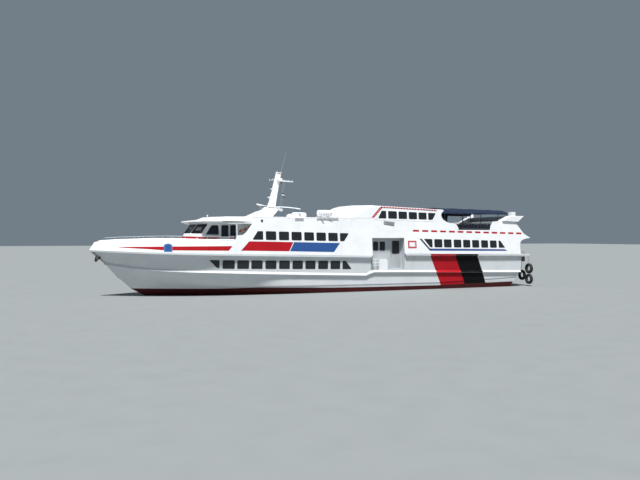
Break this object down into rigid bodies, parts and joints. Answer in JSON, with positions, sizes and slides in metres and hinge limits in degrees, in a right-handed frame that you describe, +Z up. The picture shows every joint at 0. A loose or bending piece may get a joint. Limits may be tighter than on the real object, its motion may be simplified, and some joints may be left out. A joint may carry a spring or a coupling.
{
  "type": "passenger ferry",
  "caption": "Fast twin-screw passenger ferry with a knuckled planing hull, two saloons, a third deck house, side lobbies, a wheelhouse and an awning over the sun deck.",
  "frame": {"origin": "on the waterline, on the centreline, amidships", "axes": "+X to the bow, +Y to port, +Z up"},
  "size_m": [36.3991, 7.02, 12.5224],
  "materials": {
    "white_paint": "gloss white marine paint",
    "hull_paint": "semi-gloss white paint over plating, bands of red and black",
    "bottom_paint": "matt dark red bottom paint",
    "deck_paint": "grey non-slip deck paint",
    "machinery": "painted castings",
    "bronze": "cast bronze",
    "steel_tube": "stainless tube",
    "dark_fitting": "dark moulded fittings",
    "iron": "black painted iron",
    "awning": "navy woven awning cloth",
    "seat": "moulded seats",
    "tyre": "worn tyre rubber",
    "canister": "white moulded canister"
  },
  "bodies": {
    "ship": {"aft_arch": "white_paint", "aft_bulkhead": "white_paint", "aft_side_port": "white_paint", "aft_side_starboard": "white_paint", "anchor": "iron", "bow_bulwark": "white_paint", "bow_rail": "steel_tube", "canopy": "awning", "canopy_frame": "steel_tube", "engine_port": "machinery", "engine_room_cover": "deck_paint", "engine_starboard": "machinery", "forward_side_port": "white_paint", "forward_side_starboard": "white_paint", "helm_console": "dark_fitting", "helm_seat": "dark_fitting", "hull": "hull_paint", "liferaft_port": "canister", "liferaft_starboard": "canister", "lobby_gate_port": "white_paint", "lobby_gate_starboard": "white_paint", "lobby_lining_port": "white_paint", "lobby_lining_starboard": "white_paint", "mast": "white_paint", "mast_platform": "white_paint", "mast_pylon": "white_paint", "roof_locker": "white_paint", "saloon_front": "white_paint", "seats_port": "seat", "seats_starboard": "seat", "shaft_bracket_port": "bottom_paint", "shaft_bracket_starboard": "bottom_paint", "sun_deck": "deck_paint", "sun_deck_rail_port": "steel_tube", "sun_deck_rail_starboard": "steel_tube", "third_deck_bulkhead": "white_paint", "third_deck_front": "white_paint", "third_deck_roof": "white_paint", "third_deck_side_port": "white_paint", "third_deck_side_starboard": "white_paint", "tyre_fender_lower": "tyre", "tyre_fender_upper": "tyre", "upper_saloon_roof": "white_paint", "wheelhouse_front": "white_paint", "wheelhouse_roof": "white_paint", "wheelhouse_side_port": "white_paint", "wheelhouse_side_starboard": "white_paint"},
    "propeller_port": {"propeller_port": "bronze"},
    "propeller_starboard": {"propeller_starboard": "bronze"},
    "rudder_port": {"rudder_port": "bottom_paint"},
    "rudder_starboard": {"rudder_starboard": "bottom_paint"},
    "wheelhouse_door_port": {"wheelhouse_door_port": "white_paint"},
    "wheelhouse_door_starboard": {"wheelhouse_door_starboard": "white_paint"},
    "lobby_door_port": {"lobby_door_port": "white_paint"},
    "lobby_door_starboard": {"lobby_door_starboard": "white_paint"},
    "aft_door": {"aft_door": "white_paint"},
    "third_deck_door": {"third_deck_door": "white_paint"}
  },
  "joints": [
    {"name": "propeller_port_turn", "type": "hinge", "parent": "ship", "child": "propeller_port", "pos_m": [-14.3, 1.45, -1.02], "axis": [0.9976, 0, 0.0699], "continuous": true},
    {"name": "rudder_port_steer", "type": "hinge", "parent": "ship", "child": "rudder_port", "pos_m": [-15.3, 1.45, -0.9], "axis": [0, 0, 1], "range_deg": [-35, 35]},
    {"name": "wheelhouse_door_port_swing", "type": "hinge", "parent": "ship", "child": "wheelhouse_door_port", "pos_m": [9.15, 2.3123, 4.2], "axis": [0, 0, -1], "range_deg": [0, 100]},
    {"name": "lobby_door_port_swing", "type": "hinge", "parent": "ship", "child": "lobby_door_port", "pos_m": [-5.59, 2.7577, 2.8], "axis": [0, 0, -1], "range_deg": [0, 90]},
    {"name": "propeller_starboard_turn", "type": "hinge", "parent": "ship", "child": "propeller_starboard", "pos_m": [-14.3, -1.45, -1.02], "axis": [0.9976, 0, 0.0699], "continuous": true},
    {"name": "rudder_starboard_steer", "type": "hinge", "parent": "ship", "child": "rudder_starboard", "pos_m": [-15.3, -1.45, -0.9], "axis": [0, 0, 1], "range_deg": [-35, 35]},
    {"name": "wheelhouse_door_starboard_swing", "type": "hinge", "parent": "ship", "child": "wheelhouse_door_starboard", "pos_m": [9.15, -2.3123, 4.2], "axis": [0, 0, 1], "range_deg": [0, 100]},
    {"name": "lobby_door_starboard_swing", "type": "hinge", "parent": "ship", "child": "lobby_door_starboard", "pos_m": [-5.59, -2.7577, 2.8], "axis": [0, 0, 1], "range_deg": [0, 90]},
    {"name": "aft_door_swing", "type": "hinge", "parent": "ship", "child": "aft_door", "pos_m": [-16.9723, 0.48, 3.6], "axis": [0, 0, -1], "range_deg": [0, 100]},
    {"name": "third_deck_door_swing", "type": "hinge", "parent": "ship", "child": "third_deck_door", "pos_m": [-9.1723, 0.43, 5.4], "axis": [0, 0, -1], "range_deg": [0, 100]}
  ],
  "couplings": [
    {"joint": "rudder_starboard_steer", "follows": "rudder_port_steer", "ratio": 1}
  ]
}
